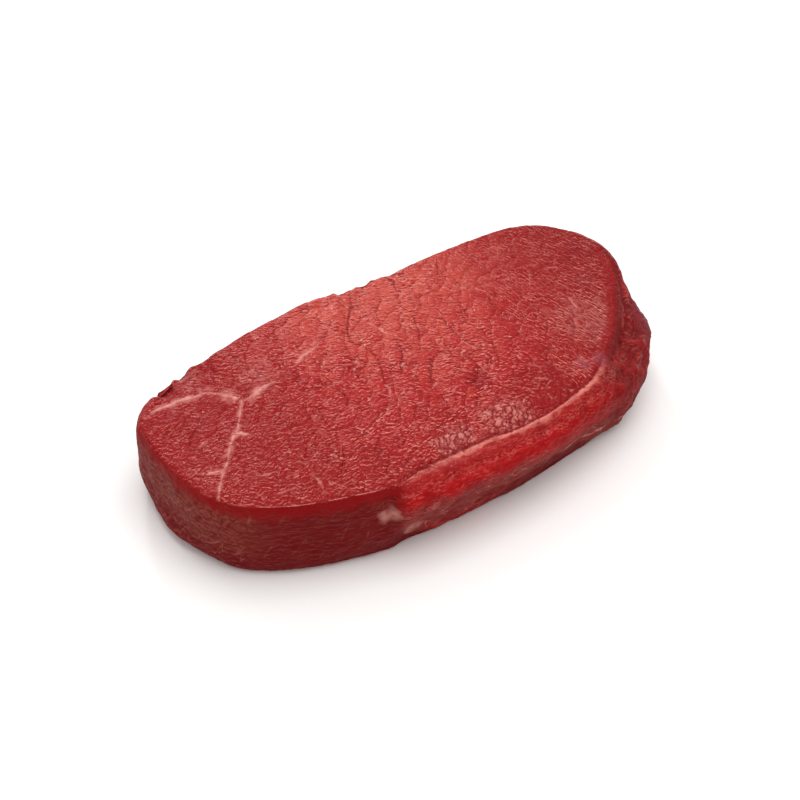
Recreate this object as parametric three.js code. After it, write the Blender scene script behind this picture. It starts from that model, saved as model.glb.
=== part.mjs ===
// A raw top round roast: one thick slab of beef with two broad cut faces, and a narrow band of the
// neighbouring muscle rolled along its front right edge. It is one solid.
//
// A box of small quads is carried onto the meat vertex by vertex. Rings round the middle of the box
// become rings round the slab, so the seam beside the edge band and the rounded rim follow mesh lines.
// Millimetres, +Z up. The origin is under the middle of the slab, on the surface that it lies on.

import * as THREE from "three";
import { ImprovedNoise } from "three/addons/math/ImprovedNoise.js";
import { mergeVertices } from "three/addons/utils/BufferGeometryUtils.js";

const { euclideanModulo, lerp, radToDeg, smoothstep } = THREE.MathUtils;

// Driving dimensions.
const LENGTH = 251; // of the main muscle, left end to right end
const DEPTH = 127; // of the main muscle, front to back
const THICKNESS = 42; // from the resting face to the upper cut face

const HALF = new THREE.Vector2(LENGTH / 2, DEPTH / 2);

// Edge of the upper cut face in shares of HALF, anticlockwise from the right end.
const OUTLINE = [
  [0.995, 0.4], [0.94, 0.7], [0.79, 0.945], [0.6, 1.0], [0.16, 0.99], [-0.17, 1.02], [-0.55, 0.88],
  [-0.85, 0.72], [-0.98, 0.51], [-0.995, 0.28], [-0.98, 0.0], [-0.945, -0.34], [-0.85, -0.6],
  [-0.63, -0.82], [-0.32, -0.965], [0.1, -0.965], [0.4, -0.89], [0.6, -0.75], [0.78, -0.43], [0.92, -0.08],
];
const OUTLINE_SAMPLES = 600;

// Rounded rims, and how far inside the edge the plain rim starts.
const UPPER_RIM_RADIUS = 3;
const LOWER_RIM_RADIUS = 6;
const RIM_WIDTH = 5;

// How far the wall stands out from the edge of the cut face, by height as a share of THICKNESS.
const WALLS = {
  plain: [[0, 0.8], [0.3, 1.4], [0.6, 1.2], [1, 0]],
  leftEnd: [[0, -1], [0.3, 0], [0.65, 1], [1, 0]],
  rightBack: [[0, 0], [0.4, 3], [0.7, 4.5], [1, 0.5]],
  bandFront: [[0, -2.5], [0.2, -3], [0.5, 3], [0.75, 7], [0.92, 6.5], [1, 5]],
  bandRight: [[0, 0], [0.16, 2.5], [0.34, 12.5], [0.5, 15], [0.74, 12], [1, 7]],
};

// Turns are in degrees, anticlockwise from the right end of the slab.
const LEFT_END = { turn: 175, width: 45 };
const RIGHT_BACK = { turn: 22, width: 30 };

// The edge band: where it begins and ends, and where it changes from its front shape to its right-hand one.
// The seam, where it meets the main muscle, lies inside the edge of the cut face. From there its top falls to
// its rolled rim: gently in front, and as a step right beside the seam at the right. A drop runs over a share
// of the way out. A groove follows the seam in front.
const BAND = {
  begins: [-112, -108],
  ends: [-20, 6],
  turnsRight: [-66, -36],
  seamInset: 4,
  front: { drop: 2.5, from: 0.4, to: 1 },
  right: { drop: 9, from: 0, to: 0.4 },
  rimRadius: 8,
  seamDepth: 2.4,
  seamWidth: 2.6,
};

// Where the foot of the wall hangs out or draws in: a broad lobe at the left end, a hollow on either side of
// the band's beginning, and a small tongue at the right.
const FOOT_LOBES = [
  { turn: 180, width: 24, reach: 5, height: 0.12 },
  { turn: -115, width: 16, reach: -3.5, height: 0.08 },
  { turn: -67, width: 14, reach: -2.5, height: 0.08 },
  { turn: -49, width: 11, reach: 7, height: 0.16 },
];

// The cut face is a little crowned and uneven, and the wall is lumpy.
const CROWN = 1.4;
const FACE_WAVES = { size: 26, height: 1.1 };
const WALL_LUMPS = { size: 17, height: 1.1 };

// Cracks between the fibre bundles: where they start and end in shares of HALF, and how deep they are.
const CRACK_HALF_WIDTH = 4.2;
const CRACKS = [
  { from: [0.03, 1.02], to: [-0.1, 0.5], depth: 2.8 },
  { from: [0.2, 1.0], to: [0.17, 0.66], depth: 1.8 },
  { from: [-0.07, 1.0], to: [-0.22, 0.64], depth: 1.4 },
  { from: [-0.64, 0.86], to: [-0.66, 0.52], depth: 2.4 },
  { from: [-0.84, 0.74], to: [-0.84, 0.5], depth: 2.0 },
  { from: [0.15, 0.36], to: [0.08, 0.04], depth: 1.3 },
  { from: [-0.08, 0.14], to: [-0.15, -0.24], depth: 1.3 },
  { from: [0.09, -0.02], to: [0.0, -0.4], depth: 1.4 },
  { from: [0.22, -0.2], to: [0.09, -0.62], depth: 1.6 },
  { from: [-0.31, 0.22], to: [-0.38, -0.1], depth: 1.2 },
  { from: [0.3, 0.5], to: [0.2, 0.14], depth: 1.1 },
];
// The round end of the main muscle laps over the thin sheet beside it with a low step.
const LAP = { path: [[0.36, -0.44], [0.53, -0.58], [0.67, -0.59], [0.78, -0.45], [0.87, -0.22]], depth: 0.9 };

// Quads along the length, the depth and the height, the ring that the seam runs on, and how much wider
// the rings are in the middle.
const QUADS = { along: 64, across: 32, up: 8 };
const SEAM_RING = 12 / 16;
const RING_EASE = 0.2;

const noise = new ImprovedNoise();

/** Reach of a closed curve through the points, as a function of the turn in radians. */
function reachOf(points) {
  const corners = points.map(([x, y]) => new THREE.Vector3(x, y, 0));
  const samples = new THREE.CatmullRomCurve3(corners, true)
    .getPoints(OUTLINE_SAMPLES)
    .map((p) => ({ turn: Math.atan2(p.y, p.x), reach: Math.hypot(p.x, p.y) }))
    .sort((a, b) => a.turn - b.turn);
  return (turn) => {
    const next = samples.findIndex((sample) => sample.turn >= turn);
    const high = samples[Math.max(next, 0)];
    const low = samples.at(next - 1);
    const gap = euclideanModulo(high.turn - low.turn, 2 * Math.PI);
    const past = euclideanModulo(turn - low.turn, 2 * Math.PI);
    return lerp(low.reach, high.reach, gap > 0 ? past / gap : 0);
  };
}

const outlineReach = reachOf(OUTLINE);

/** Value of a smooth profile, given as [place, value] pairs in rising order, at a place. */
function along(profile, place) {
  const next = profile.findIndex(([p]) => p >= place);
  if (next <= 0) return profile.at(next)[1];
  const [p0, v0] = profile[next - 1];
  const [p1, v1] = profile[next];
  return lerp(v0, v1, smoothstep(place, p0, p1));
}

/** How near two turns in degrees are: 1 where they are alike, falling smoothly to 0 at the width. */
function nearness(turn, { turn: middle, width }) {
  const gap = Math.abs(euclideanModulo(turn - middle + 180, 360) - 180);
  return 1 - smoothstep(gap, 0, width);
}

/** Distance from a point to the nearest of the straight pieces between the path's points. */
function distanceTo(path, point) {
  const nearest = new THREE.Vector3();
  let least = Infinity;
  for (let i = 1; i < path.length; i++) {
    new THREE.Line3(path[i - 1], path[i]).closestPointToPoint(point, true, nearest);
    least = Math.min(least, nearest.distanceTo(point));
  }
  return least;
}

/** A path in shares of HALF as points on the plan. */
const onPlan = (path) => path.map(([x, y]) => new THREE.Vector3(x * HALF.x, y * HALF.y, 0));

const grooves = CRACKS.map(({ from, to, depth }) => ({ path: onPlan([from, to]), depth }));
grooves.push({ path: onPlan(LAP.path), depth: LAP.depth });

/** How much of the edge band there is at a turn in degrees: 0 where there is none, 1 where it is whole. */
const bandShare = (turn) => smoothstep(turn, ...BAND.begins) * (1 - smoothstep(turn, ...BAND.ends));

/** How far the wall stands out from the edge of the cut face at a turn and a share of the height. */
function wallReach(turn, height) {
  const leftEnd = lerp(along(WALLS.plain, height), along(WALLS.leftEnd, height), nearness(turn, LEFT_END));
  const plain = lerp(leftEnd, along(WALLS.rightBack, height), nearness(turn, RIGHT_BACK));
  const right = smoothstep(turn, ...BAND.turnsRight);
  const band = lerp(along(WALLS.bandFront, height), along(WALLS.bandRight, height), right);
  let reach = lerp(plain, band, bandShare(turn));
  for (const lobe of FOOT_LOBES) {
    reach += lobe.reach * nearness(turn, lobe) * Math.exp(-((height / lobe.height - 1) ** 2));
  }
  return reach;
}

/** Relief of the upper cut face at a point on the plan: crown and waves, less the deepest groove there. */
function faceRelief(x, y) {
  const point = new THREE.Vector3(x, y, 0);
  const crown = CROWN * (1 - (x / HALF.x) ** 2) * (1 - (y / HALF.y) ** 2);
  const waves = FACE_WAVES.height * noise.noise(x / FACE_WAVES.size, y / FACE_WAVES.size, 0.5);
  let groove = 0;
  for (const { path, depth } of grooves) {
    groove = Math.max(groove, depth * (1 - smoothstep(distanceTo(path, point), 0, CRACK_HALF_WIDTH)));
  }
  return crown + waves - groove;
}

/** Rounds the corner of the (out, up) section where the wall, at out = edge, meets a face at up = top. */
function roundCorner(out, up, edge, top, radius) {
  const core = new THREE.Vector2(Math.min(out, edge - radius), Math.min(up, top - radius));
  const arm = new THREE.Vector2(out, up).sub(core);
  return arm.lengthSq() > 0 ? core.add(arm.setLength(radius)) : core;
}

/** Turn in radians of a point on its square ring, so that square rings become round ones. */
function ringTurn(a, b) {
  if (a === 0 && b === 0) return 0;
  const eighth = Math.PI / 4;
  const fromAxis = Math.abs(a) >= Math.abs(b) ? eighth * (b / a) : eighth * (2 - a / b);
  const behind = Math.abs(a) >= Math.abs(b) ? a < 0 : b < 0;
  const turn = fromAxis + (behind ? Math.PI : 0);
  return turn > Math.PI ? turn - 2 * Math.PI : turn;
}

/** Carries a point of the box, each coordinate from -1 to 1, onto the slab. */
function onSlab(a, b, c) {
  const radians = ringTurn(a, b);
  const turn = radToDeg(radians);
  const direction = new THREE.Vector2(Math.cos(radians), Math.sin(radians)).multiply(HALF);
  const edge = direction.length() * outlineReach(radians);
  direction.normalize();

  const ring = Math.max(Math.abs(a), Math.abs(b));
  const inside = Math.min(ring / SEAM_RING, 1);
  const outside = Math.max(ring - SEAM_RING, 0) / (1 - SEAM_RING);
  const height = 0.5 + 0.5 * Math.sin((c * Math.PI) / 2);
  const band = bandShare(turn);
  const seam = edge - lerp(RIM_WIDTH, BAND.seamInset, band);
  const wall = edge + wallReach(turn, height);
  const out = seam * inside * (1 + RING_EASE * (1 - inside)) + (wall - seam) * outside;

  const upper = c > 0;
  const radius = upper ? lerp(UPPER_RIM_RADIUS, BAND.rimRadius, band) : LOWER_RIM_RADIUS;
  const section = roundCorner(out, Math.abs(height - 0.5) * THICKNESS, wall, THICKNESS / 2, radius);
  const [x, y] = [section.x * direction.x, section.x * direction.y];
  let z = THICKNESS / 2 + (upper ? section.y : -section.y);

  const upperShare = smoothstep(height, 0.7, 1);
  const right = smoothstep(turn, ...BAND.turnsRight);
  const dropOf = ({ drop, from, to }) => drop * smoothstep(outside, from, to);
  const seamGroove = BAND.seamDepth * (1 - smoothstep(Math.abs(section.x - seam), 0, BAND.seamWidth));
  const bandFall = band * lerp(dropOf(BAND.front) + seamGroove, dropOf(BAND.right), right);
  z += upperShare * (faceRelief(x, y) * (1 - band * outside) - bandFall);

  const wallShare = outside * Math.sin(Math.PI * height);
  const { size, height: lumpHeight } = WALL_LUMPS;
  const lump = wallShare * lumpHeight * noise.noise(x / size, y / size, z / size);
  return new THREE.Vector3(x + lump * direction.x, y + lump * direction.y, z);
}

/** Cuts each quad of a box geometry, stored as the corners a b d, b c d, along its shorter diagonal. */
function cutShorterWay(geometry) {
  const { array: corners } = geometry.getIndex();
  const position = geometry.getAttribute("position");
  const at = (i) => new THREE.Vector3().fromBufferAttribute(position, i);
  for (let i = 0; i < corners.length; i += 6) {
    const [a, b, d, , c] = corners.slice(i, i + 6);
    if (at(a).distanceTo(at(c)) < at(b).distanceTo(at(d))) corners.set([a, b, c, a, c, d], i);
  }
}

/** Geometry of the whole slab, centred over the origin and standing on z = 0. */
function slabGeometry() {
  const box = new THREE.BoxGeometry(2, 2, 2, QUADS.along, QUADS.across, QUADS.up);
  box.deleteAttribute("normal");
  box.deleteAttribute("uv");
  const slab = mergeVertices(box);
  const position = slab.getAttribute("position");
  for (let i = 0; i < position.count; i++) {
    const { x, y, z } = onSlab(position.getX(i), position.getY(i), position.getZ(i));
    position.setXYZ(i, x, y, z);
  }
  cutShorterWay(slab);
  slab.computeBoundingBox();
  const { min, max } = slab.boundingBox;
  slab.translate(-(min.x + max.x) / 2, -(min.y + max.y) / 2, -min.z);
  slab.computeVertexNormals();
  return slab;
}

const rawBeef = new THREE.MeshStandardMaterial({ color: 0xb53c3a, roughness: 0.45, metalness: 0 });

const slab = new THREE.Mesh(slabGeometry(), rawBeef);
slab.name = "roast";

const roast = new THREE.Group();
roast.add(slab);

export default roast;
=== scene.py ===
"""Dresses a raw top round roast: fibre bundles, fissures, fat seams and a moist sheen, partly painted, on a
pale floor.
"""

from __future__ import annotations

import logging
import math
from dataclasses import dataclass, field
from enum import Enum
from typing import Union

import bmesh
import bpy
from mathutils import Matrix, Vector


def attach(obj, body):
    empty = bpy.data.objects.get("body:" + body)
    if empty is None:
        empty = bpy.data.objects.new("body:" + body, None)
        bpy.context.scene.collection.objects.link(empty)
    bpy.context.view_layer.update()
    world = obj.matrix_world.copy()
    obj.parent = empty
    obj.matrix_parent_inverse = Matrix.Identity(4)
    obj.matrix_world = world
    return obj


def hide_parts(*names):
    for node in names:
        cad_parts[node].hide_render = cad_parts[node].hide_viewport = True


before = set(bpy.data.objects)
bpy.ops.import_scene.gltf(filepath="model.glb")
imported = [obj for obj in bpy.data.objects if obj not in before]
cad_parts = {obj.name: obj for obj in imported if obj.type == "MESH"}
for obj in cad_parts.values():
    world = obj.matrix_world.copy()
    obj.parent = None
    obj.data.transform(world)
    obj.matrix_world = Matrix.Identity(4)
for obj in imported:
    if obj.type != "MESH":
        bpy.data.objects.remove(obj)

LOG = logging.getLogger("roast")
MM = 0.001
CAD_NODE = "roast"
CAD_BODY = "root"
FINISH = "raw_beef"
FACE_HEIGHT = 43.0

Point = tuple[float, float]
Span = tuple[float, float]
Triple = tuple[float, float, float]


class Mark(Enum):
    """Named attributes that the relief leaves on the mesh for the finish to read."""

    FACE = "cut_face"
    SEAM = "band_seam"
    FAT = "fat_seam"
    CRACK = "crack"


class Tint(Enum):
    """Colours as they look on a screen, as six hexadecimal digits."""

    LEAN = "9E1C1C"
    LEAN_DEEP = "880A10"
    LEAN_PALE = "BA493E"
    # pale threads, also painted highlights beside bundle borders and on the band's top and shoulder
    FLECK_AND_HIGHLIGHT = "C97067"
    # painted highlights on the crinkles and fine ridges
    GLINT = "CC6C62"
    # painted sheen of the wet cut face
    SHEEN = "BA7871"
    # dark fissures and cracks, also painted shade beside crinkles and bundle borders
    FISSURE_AND_SHADE = "740207"
    FAT = "CC8A7E"
    # pale fat, also painted highlights on the wrinkles of the front sheen patch
    SEAM_FAT_AND_HIGHLIGHT = "DA9188"
    WALL = "660509"
    WALL_STREAK = "701315"
    # painted light and painted shade on the wall's fine ridges
    WALL_LIT = "944440"
    WALL_SHADE = "400205"
    MEMBRANE = "782E24"
    END_MEMBRANE = "6A3038"
    # clear red under the rim, painted light shining through the thin edge; also the dark line round the lobe
    RIM = "820409"
    BAND_RED = "98070D"
    # painted highlight along the band's upper front
    BAND_HIGHLIGHT = "B00C14"
    BAND_DEEP = "7E070C"
    BAND_BROWN = "781A19"
    BAND_DULL = "8A3A35"
    STRIP = "D87F73"
    PURPLE = "843844"
    GLEAM = "FFC8C0"
    FLOOR = "F6F4F2"
    SKY = "FFFFFF"

    @property
    def linear(self) -> tuple[float, float, float, float]:
        """The colour as linear light, with full alpha."""
        parts = [int(self.value[i : i + 2], 16) / 255 for i in (0, 2, 4)]
        light = [p / 12.92 if p <= 0.04045 else ((p + 0.055) / 1.055) ** 2.4 for p in parts]
        return (light[0], light[1], light[2], 1)


@dataclass(frozen=True)
class Field:
    """A value, vector or colour that varies over the surface: one output socket of a node tree."""

    sketch: NodeSketch
    socket: bpy.types.NodeSocket

    def __add__(self, other: Value) -> Field:
        """This value plus another."""
        return self.sketch.math("ADD", self, other)

    __radd__ = __add__

    def __sub__(self, other: Value) -> Field:
        """This value less another."""
        return self.sketch.math("SUBTRACT", self, other)

    def __rsub__(self, other: Value) -> Field:
        """Another value less this one."""
        return self.sketch.math("SUBTRACT", other, self)

    def __mul__(self, other: Value) -> Field:
        """This value times another."""
        return self.sketch.math("MULTIPLY", self, other)

    __rmul__ = __mul__

    def unsigned(self) -> Field:
        """This value without its sign."""
        return self.sketch.math("ABSOLUTE", self, 0)

    def toward(self, other: Field, share: Field) -> Field:
        """This value, drawn towards another by a share."""
        return self + (other - self) * share

    def ramp(self, low: Value, high: Value, start: float, end: float) -> Field:
        """Goes smoothly from start, where this value is low, to end, where it is high."""
        ends = {0: self, 1: low, 2: high, 3: start, 4: end}
        return self.sketch.value("ShaderNodeMapRange", ends, interpolation_type="SMOOTHSTEP")

    def rise(self, low: Value, high: Value) -> Field:
        """Goes smoothly from 0 at low to 1 at high."""
        return self.ramp(low, high, 0, 1)

    def fall(self, low: Value, high: Value) -> Field:
        """Goes smoothly from 1 at low to 0 at high."""
        return self.ramp(low, high, 1, 0)

    def blend(self, first: Union[Field, Tint], second: Union[Field, Tint]) -> Field:
        """Mixes two colours, of which the second has this value as its share."""
        first, second = (c.linear if isinstance(c, Tint) else c for c in (first, second))
        return self.sketch.value("ShaderNodeMix", {0: self, 6: first, 7: second}, 2, data_type="RGBA")

    def along(self, direction: Value) -> Field:
        """A vector times this value."""
        return self.sketch.value("ShaderNodeVectorMath", {0: direction, "Scale": self}, operation="SCALE")

    def plus(self, other: Value) -> Field:
        """This vector plus another."""
        return self.sketch.vector("ADD", self, other)

    def minus(self, other: Value) -> Field:
        """This vector less another."""
        return self.sketch.vector("SUBTRACT", self, other)

    def times(self, factors: Value) -> Field:
        """This vector times another, axis by axis."""
        return self.sketch.vector("MULTIPLY", self, factors)

    def on_plan(self) -> Field:
        """These places on the plan, so that a pattern doesn't change through the slab's thickness."""
        return self.times((1, 1, 0))

    def length(self) -> Field:
        """Length of this vector."""
        return self.sketch.value("ShaderNodeVectorMath", {0: self}, "Value", operation="LENGTH")

    def parts(self) -> tuple[Field, Field, Field]:
        """The three coordinates of this vector."""
        node = self.sketch.node("ShaderNodeSeparateXYZ", {0: self})
        return self.sketch.out(node, 0), self.sketch.out(node, 1), self.sketch.out(node, 2)

    def turned(self, degrees: float) -> Field:
        """These places turned about the vertical axis."""
        turn = {"Vector": self, "Angle": math.radians(degrees)}
        return self.sketch.value("ShaderNodeVectorRotate", turn, rotation_type="Z_AXIS")

    def noise(self, size: float, detail: float = 2.0, roughness: float = 0.5) -> Field:
        """Cloudy noise from 0 to 1 at these places, with lumps of about the given size."""
        look = {"Vector": self, "Scale": 1 / size, "Detail": detail, "Roughness": roughness}
        return self.sketch.value("ShaderNodeTexNoise", look)

    def patches(self, size: float, low: float, high: float, detail: float = 2.0) -> Field:
        """Soft patches of about the given size: 0 where the noise is low and 1 where it is high."""
        return self.noise(size, detail).rise(low, high)

    def wander(self, size: float, reach: float) -> Field:
        """These places, shifted by smooth noise of the given size by at most reach along each axis."""
        look = {"Vector": self, "Scale": 1 / size, "Detail": 1}
        centred = self.sketch.value("ShaderNodeTexNoise", look, 1).minus((0.5, 0.5, 0.5))
        return self.plus(centred.times((2 * reach,) * 3))

    def cell(self, output: str) -> Field:
        """The middle or the random colour of the cell, about one unit across, that each place lies in."""
        return self.sketch.value("ShaderNodeTexVoronoi", {"Vector": self, "Scale": 1}, output, feature="F1")

    def cell_edge(self) -> Field:
        """Distance from the nearest border between cells that are about one unit across."""
        look = {"Vector": self, "Scale": 1}
        return self.sketch.value("ShaderNodeTexVoronoi", look, feature="DISTANCE_TO_EDGE")

    def ridge_light(self, size: float) -> Field:
        """Light on fine ridges about size apart: positive on their upper side, negative in their shade."""
        step = (0, 0, 0.3 * size)
        return self.minus(step).noise(size, 1, 0.7) - self.plus(step).noise(size, 1, 0.7)

    def fraying(self, reach: float) -> Field:
        """Fine noise about 0 that frays the edges of lines."""
        return (self.noise(1.5) - 0.5) * reach


Value = Union[Field, float, tuple[float, ...]]
Key = Union[int, str]
Inputs = Union[dict[Key, Value], None]


def most(*values: Field) -> Field:
    """The largest of several values at each place."""
    largest = values[0]
    for value in values[1:]:
        largest = largest.sketch.math("MAXIMUM", largest, value)
    return largest


class NodeSketch:
    """Adds nodes to one tree and links them, so that a pattern reads as a formula."""

    def __init__(self, tree: bpy.types.NodeTree) -> None:
        """Starts on a shader or geometry tree, which the nodes go into."""
        self.tree = tree

    def feed(self, socket: bpy.types.NodeSocket, value: Value) -> None:
        """Links a field to a socket, or sets the socket to a constant.

        Args:
            socket: The input socket to feed.
            value: A field, or a plain number, vector or colour.
        """
        if isinstance(value, Field):
            self.tree.links.new(value.socket, socket)
        else:
            socket.default_value = value

    def node(self, kind: str, inputs: Inputs = None, **settings: object) -> bpy.types.Node:
        """Adds one node.

        Args:
            kind: Blender's name for the kind of node.
            inputs: What feeds each input, by the input's name or place.
            **settings: The node's own properties.

        Returns:
            The new node.
        """
        node = self.tree.nodes.new(kind)
        for name, setting in settings.items():
            setattr(node, name, setting)
        for key, value in (inputs or {}).items():
            self.feed(node.inputs[key], value)
        return node

    def out(self, node: bpy.types.Node, key: Key = 0) -> Field:
        """One output of a node as a field."""
        return Field(self, node.outputs[key])

    def value(self, kind: str, inputs: Inputs = None, output: Key = 0, **settings: object) -> Field:
        """Adds one node and gives one of its outputs; the other arguments are those of node."""
        return self.out(self.node(kind, inputs, **settings), output)

    def math(self, operation: str, first: Value, second: Value) -> Field:
        """Joins two numbers by one of the Math node's operations."""
        return self.value("ShaderNodeMath", {0: first, 1: second}, operation=operation)

    def vector(self, operation: str, first: Value, second: Value) -> Field:
        """Joins two vectors by one of the Vector Math node's operations."""
        return self.value("ShaderNodeVectorMath", {0: first, 1: second}, operation=operation)

    def take(self, name: str) -> Field:
        """In a geometry tree, one of the tree's named inputs."""
        return self.value("NodeGroupInput", None, name)

    def mark(self, mark: Mark) -> Field:
        """In a material's tree, a number that the relief left on the mesh."""
        return self.value("ShaderNodeAttribute", None, "Fac", attribute_name=mark.value)

    def nearest(self, mark: Mark) -> Field:
        """In a material's tree, the nearest point of a set of lines, as the relief left it on the mesh."""
        return self.value("ShaderNodeAttribute", None, "Vector", attribute_name=mark.value)


@dataclass(frozen=True)
class Weave:
    """Cells or streaks of cut fibre, drawn out along one heading. Sizes are in millimetres."""

    long: float
    wide: float
    heading: float
    seed: float
    wander_size: float = 3.5
    wander_reach: float = 1.0

    def places(self, plan: Field) -> Field:
        """Turns plan places in mm to cell sizes, with the long way along the heading."""
        turned = plan.wander(self.wander_size, self.wander_reach).turned(-self.heading)
        return turned.times((1 / self.long, 1 / self.wide, 1)).plus((self.seed,) * 3)

    def border(self, plan: Field) -> Field:
        """Distance from the nearest border between cells, in millimetres across the heading."""
        return self.places(plan).cell_edge() * self.wide

    def draw(self, plan: Field) -> Field:
        """One random number from 0 to 1 for each cell."""
        return self.places(plan).cell("Color").parts()[0]

    def across(self, plan: Field) -> Field:
        """Where a place lies across its cell, from about -0.5 to 0.5."""
        places = self.places(plan)
        return places.minus(places.cell("Position")).parts()[1]

    def streaks(self, plan: Field) -> Field:
        """Noise from 0 to 1 that is drawn out along the heading; its peaks are the streaks."""
        return self.places(plan).noise(1, detail=1, roughness=0.8)


@dataclass(frozen=True)
class Grain:
    """Build of the muscle, which the relief and the finish share so that both fall in the same places."""

    bundles: Weave = Weave(19.95, 9.5, heading=61.0, seed=4.0, wander_size=14.0, wander_reach=2.8)
    threads: Weave = Weave(12.24, 3.4, heading=-33.0, seed=7.0, wander_size=8.0, wander_reach=1.8)
    lobe_threads: Weave = Weave(12.6, 3.0, heading=-68.0, seed=8.0, wander_size=9.0, wander_reach=1.4)
    strands: Weave = Weave(5.76, 3.6, heading=66.0, seed=9.0, wander_size=5.0, wander_reach=1.6)
    wrinkles: Weave = Weave(7.22, 3.8, heading=66.0, seed=5.0, wander_size=4.0, wander_reach=1.4)
    ends: Weave = Weave(2.7, 1.4, heading=-31.0, seed=2.0)
    front_ends: Weave = Weave(2.6, 1.35, heading=17.0, seed=3.0)
    lobe_ends: Weave = Weave(3.8, 1.2, heading=-76.0, seed=6.0)
    lit_step: Point = (0.15, 0.28)
    front: Span = (-38.0, -2.0)
    front_lean: float = 0.6
    lobe: Span = (30.0, 65.0)
    middle: Point = (5.0, 5.0)
    calm: Span = (55.0, 105.0)

    def openness(self, plan: Field) -> Field:
        """How far the fissures stand open at a place, from 0 to 1; most in the slab's middle.

        Args:
            plan: Plan places in mm.

        Returns:
            The share that a fissure is open.
        """
        away = plan.minus((*self.middle, 0)).length()
        calm = away.fall(*self.calm) * 0.75 + 0.25
        return plan.patches(8, 0.34, 0.56) * calm

    def fibre_ends(self, plan: Field) -> Field:
        """Crinkles of the cut fibres, which turn one way in front and the other way towards the wrapped end.

        Args:
            plan: Plan places in mm.

        Returns:
            Noise from 0 to 1; its peaks are the ridges.
        """
        x, y, _ = plan.parts()
        front = (x * self.front_lean + y).fall(*self.front) * plan.patches(9, 0.42, 0.56, 1)
        main = self.ends.streaks(plan).toward(self.front_ends.streaks(plan), front)
        return main.toward(self.lobe_ends.streaks(plan), x.rise(*self.lobe))

    def thread(self, plan: Field) -> Field:
        """Distance from the nearest pale thread, in millimetres; the threads turn as the fibre ends do."""
        lobe = plan.parts()[0].rise(*self.lobe)
        return self.threads.border(plan).toward(self.lobe_threads.border(plan), lobe)

    def skin(self, plan: Field) -> Field:
        """Fine relief of the cut faces, from 0 to 1: cut fibre ends on small soft lumps."""
        return self.fibre_ends(plan) * 0.4 + plan.noise(3.4, 1) * 0.25

    def lit(self, plan: Field) -> Field:
        """How far the crinkles face the back, where the light comes from; negative in their shade."""
        step = (*self.lit_step, 0)
        return self.fibre_ends(plan.minus(step)) - self.fibre_ends(plan.plus(step))

    @staticmethod
    def layers(place: Field) -> Field:
        """Places on the wall, drawn out along its layers."""
        return place.wander(14, 3).times((0.25, 0.25, 1))


@dataclass(frozen=True)
class Patch:
    """A place where the meat looks different, which fades out from its middle. Sizes are in millimetres."""

    centre: Triple
    reach: float
    core: float = 0.35

    def share(self, place: Field) -> Field:
        """1 in the patch's middle and 0 beyond its reach."""
        return place.minus(self.centre).length().fall(self.reach * self.core, self.reach)


def on_face(*rows: Triple) -> tuple[Patch, ...]:
    """Patches on the upper cut face, from the x, y and reach of each."""
    return tuple(Patch((x, y, FACE_HEIGHT), reach) for x, y, reach in rows)


def within(patches: tuple[Patch, ...], place: Field) -> Field:
    """1 in the middle of any of the patches and 0 outside them all."""
    return most(*[patch.share(place) for patch in patches])


@dataclass(frozen=True)
class Path:
    """One line in the meat, on the plan. It is thinner towards both ends. Sizes are in millimetres."""

    half_width: float
    points: tuple[Point, ...]
    taper: float = 0.35

    def width_at(self, index: int) -> float:
        """Half the line's width at one of its points."""
        swell = math.sin(math.pi * index / (len(self.points) - 1))
        return self.half_width * (self.taper + (1 - self.taper) * swell)


@dataclass(frozen=True)
class GuideSet:
    """Lines of one kind, such as all the fat seams. Sizes are in millimetres."""

    mark: Mark
    paths: tuple[Path, ...]
    wander_size: float = 5.0
    wander_reach: float = 0.6
    core: float = 0.25

    def build(self) -> bpy.types.Object:
        """Makes one curve object with a spline for each path; its height is the line's half width.

        Returns:
            The curve object, in metres.
        """
        curve = bpy.data.curves.new(self.mark.value, "CURVE")
        curve.dimensions = "3D"
        for path in self.paths:
            spline = curve.splines.new("POLY")
            spline.points.add(len(path.points) - 1)
            for index, (x, y) in enumerate(path.points):
                spline.points[index].co = (x * MM, y * MM, path.width_at(index) * MM, 1)
        guide = bpy.data.objects.new(self.mark.value, curve)
        bpy.context.scene.collection.objects.link(guide)
        return guide

    def loose(self, plan: Field) -> Field:
        """Places on the plan with a small wander, so that no line looks ruled."""
        return plan.wander(self.wander_size, self.wander_reach)

    def share(self, plan: Field, nearest: Field, ragged: Value = 0.0, swell: Value = 1.0) -> Field:
        """How far a place lies within the nearest line.

        Args:
            plan: Plan places in mm.
            nearest: The nearest point of the lines, with the line's half width as its height.
            ragged: Noise about 0 that frays the line's edges.
            swell: What the line's width is multiplied by.

        Returns:
            1 along the line's middle and 0 beyond its edge.
        """
        _, _, width = nearest.parts()
        across = self.loose(plan).minus(nearest.on_plan()).length()
        return (across + ragged).fall(width * swell * self.core, width * swell)


BAND_SEAM = GuideSet(Mark.SEAM, (
    Path(2.6, ((-46, -60), (-29, -57), (-16, -56), (-4, -56), (6, -56), (14, -58), (23, -58),
          (32, -57), (41, -55), (57, -51), (65, -48), (74, -42), (80, -38))),
    Path(0.01, ((80, -38), (91, -29), (100, -18), (110, -4), (116, 6), (120, 16), (121, 26))),
))

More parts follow.
